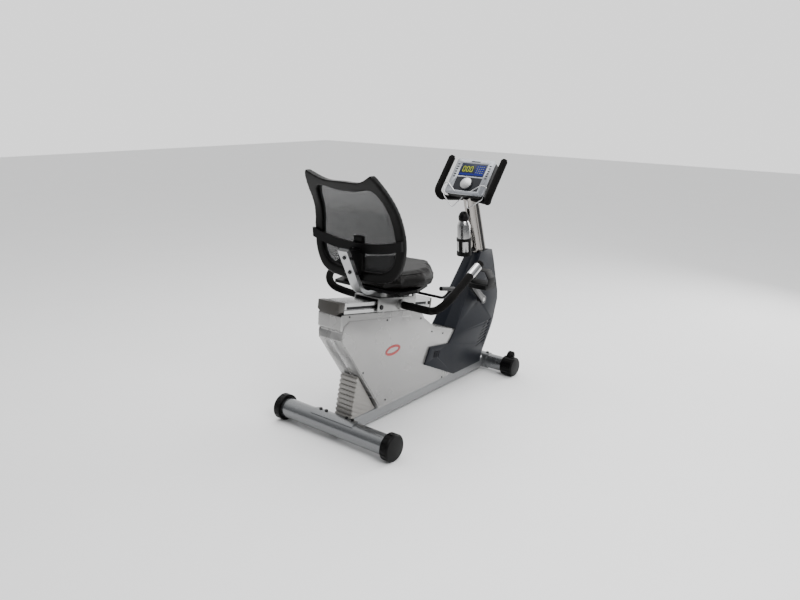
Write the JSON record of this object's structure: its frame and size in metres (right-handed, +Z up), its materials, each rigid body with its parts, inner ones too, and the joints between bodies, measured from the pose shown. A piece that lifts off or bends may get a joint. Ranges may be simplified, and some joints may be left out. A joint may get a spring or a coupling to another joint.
{
  "type": "recumbent exercise bike",
  "caption": "Recumbent exercise bike with a sliding mesh-back seat, enclosed belt drive and crank, console mast, bottle and hand grips.",
  "frame": {"origin": "on the floor at the centre of the footprint's bounding box", "axes": "+X forward from the seat to the console, +Y to the rider's left, +Z up"},
  "size_m": [1.24, 0.7232, 1.1237],
  "materials": {
    "grey_paint": "satin metallic",
    "black_paint": "satin",
    "black_plastic": "fine grain",
    "navy_plastic": "fine grain",
    "silver_plastic": "gloss",
    "brown_plastic": "satin",
    "dark_gloss": "gloss",
    "nylon": "smooth",
    "extrusion": "polished",
    "chrome": "mirror",
    "steel": "bright",
    "dark_steel": "satin",
    "iron": "turned",
    "pulley": "smooth",
    "belt": "matt",
    "tyre": "matt",
    "foam": "matt foam",
    "vinyl": "slight sheen",
    "mesh": "open weave",
    "lcd": "gloss",
    "board": "matt"
  },
  "bodies": {
    "frame": {"rear_stabilizer": "grey_paint", "rear_end_caps": "black_plastic", "rear_saddle": "grey_paint", "base_beam": "grey_paint", "front_stabilizer": "grey_paint", "front_end_caps": "black_plastic", "frame_screws": "dark_steel", "rail_post": "black_paint", "strut_cover": "black_plastic", "shroud_left": "silver_plastic", "shroud_right": "silver_plastic", "column_cover_left": "navy_plastic", "column_cover_right": "navy_plastic", "front_frame": "black_paint", "mast": "extrusion", "seat_rail": "extrusion", "rail_end_caps": "brown_plastic", "bottle_cage": "black_plastic", "console_housing": "black_plastic", "console_face": "silver_plastic", "console_screen": "lcd", "console_panel": "black_plastic", "console_board": "board", "upper_handlebar": "chrome", "upper_grips": "foam", "page_holder": "chrome", "drive_belt": "belt", "brake_motor": "pulley", "drive_brackets": "black_paint", "crank_bearings": "steel", "flywheel_axle": "steel"},
    "crank": {"crank_axle": "steel", "drive_pulley": "pulley", "crank_arm_right": "steel", "crank_arm_left": "steel", "pedal_spindles": "steel"},
    "pedal_right": {"pedal_right": "black_plastic"},
    "pedal_left": {"pedal_left": "black_plastic"},
    "flywheel": {"flywheel": "iron"},
    "idler": {"idler_pulley": "pulley"},
    "magnet": {"magnet_arm": "extrusion"},
    "seat": {"seat_carriage": "grey_paint", "carriage_glides": "nylon", "seat_bracket": "steel", "back_mount": "black_plastic", "seat_bolts": "dark_steel", "backrest_frame": "dark_gloss", "backrest_mesh": "mesh", "back_band": "black_plastic", "seat_pan": "black_plastic", "seat_cushion": "vinyl", "seat_handles": "chrome", "seat_grips": "foam", "pulse_sensors": "chrome"},
    "lever": {"seat_lever": "dark_steel"},
    "bottle": {"bottle": "extrusion", "bottle_cap": "black_plastic"},
    "wheel_right": {"wheel_right": "tyre"},
    "wheel_left": {"wheel_left": "tyre"},
    "dial": {"jog_dial": "silver_plastic"}
  },
  "joints": [
    {"name": "flywheel_spin", "type": "hinge", "parent": "frame", "child": "flywheel", "pos_m": [0.23, 0, 0.198], "axis": [0, 1, 0], "continuous": true},
    {"name": "crank_spin", "type": "hinge", "parent": "frame", "child": "crank", "pos_m": [0.438, 0, 0.42], "axis": [0, 1, 0], "continuous": true},
    {"name": "idler_spin", "type": "hinge", "parent": "frame", "child": "idler", "pos_m": [0.37454, 0, 0.24365], "axis": [0, 1, 0], "continuous": true},
    {"name": "pedal_right_spin", "type": "hinge", "parent": "crank", "child": "pedal_right", "pos_m": [0.3097, -0.154, 0.53153], "axis": [0, 1, 0], "continuous": true},
    {"name": "pedal_left_spin", "type": "hinge", "parent": "crank", "child": "pedal_left", "pos_m": [0.5663, 0.154, 0.30847], "axis": [0, 1, 0], "continuous": true},
    {"name": "magnet_swing", "type": "hinge", "parent": "frame", "child": "magnet", "pos_m": [0.10674, -0.009, 0.14052], "axis": [0, -1, 0], "range_deg": [0, 10]},
    {"name": "seat_slide", "type": "slide", "parent": "frame", "child": "seat", "axis": [0.9866, 0, -0.1633], "range_m": [-0.14, 0.08]},
    {"name": "lever_pull", "type": "hinge", "parent": "seat", "child": "lever", "pos_m": [-0.115, -0.12, 0.566], "axis": [0, -1, 0], "range_deg": [0, 25], "stiffness_Nm_per_rad": 1, "springref_deg": -17.19},
    {"name": "bottle_lift", "type": "slide", "parent": "frame", "child": "bottle", "axis": [-0.1045, 0, 0.9945], "range_m": [0, 0.016]},
    {"name": "dial_turn", "type": "hinge", "parent": "frame", "child": "dial", "pos_m": [0.37186, 0, 0.99661], "axis": [-0.7965, 0, 0.6046], "continuous": true},
    {"name": "wheel_right_spin", "type": "hinge", "parent": "frame", "child": "wheel_right", "pos_m": [0.592, -0.178, 0.095], "axis": [0, 1, 0], "continuous": true},
    {"name": "wheel_left_spin", "type": "hinge", "parent": "frame", "child": "wheel_left", "pos_m": [0.592, 0.178, 0.095], "axis": [0, 1, 0], "continuous": true}
  ],
  "couplings": [
    {"joint": "crank_spin", "follows": "flywheel_spin", "ratio": 0.20683},
    {"joint": "idler_spin", "follows": "flywheel_spin", "ratio": -1.2118}
  ]
}
